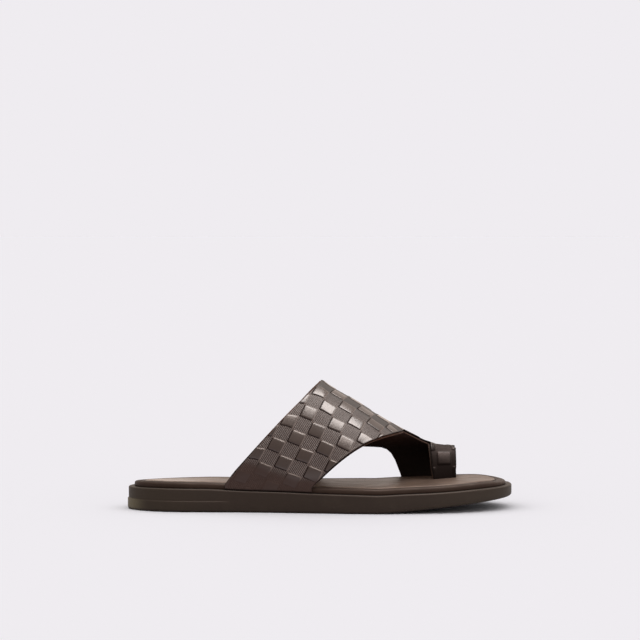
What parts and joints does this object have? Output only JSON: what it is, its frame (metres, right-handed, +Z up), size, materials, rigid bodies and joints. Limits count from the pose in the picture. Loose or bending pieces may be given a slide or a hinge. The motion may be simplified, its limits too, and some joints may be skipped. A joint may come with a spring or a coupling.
{
  "type": "slide sandal",
  "caption": "Right-foot leather slide sandal with a wide instep band that runs forward into a big-toe loop, on a footbed and moulded rubber outsole.",
  "frame": {"origin": "on the floor, under the middle of the whole sandal's box", "axes": "+X towards the toe, +Y towards the big toe's (inner) side, +Z up"},
  "size_m": [0.29, 0.1048, 0.096],
  "materials": {
    "outsole_rubber": "matte moulded",
    "footbed_leather": "smooth, low sheen",
    "insole_leather": "smooth, low sheen",
    "upper_leather": "embossed check, semi-gloss"
  },
  "bodies": {
    "root": {"outsole": "outsole_rubber", "footbed": "footbed_leather", "insole": "insole_leather", "upper": "upper_leather"}
  },
  "joints": []
}
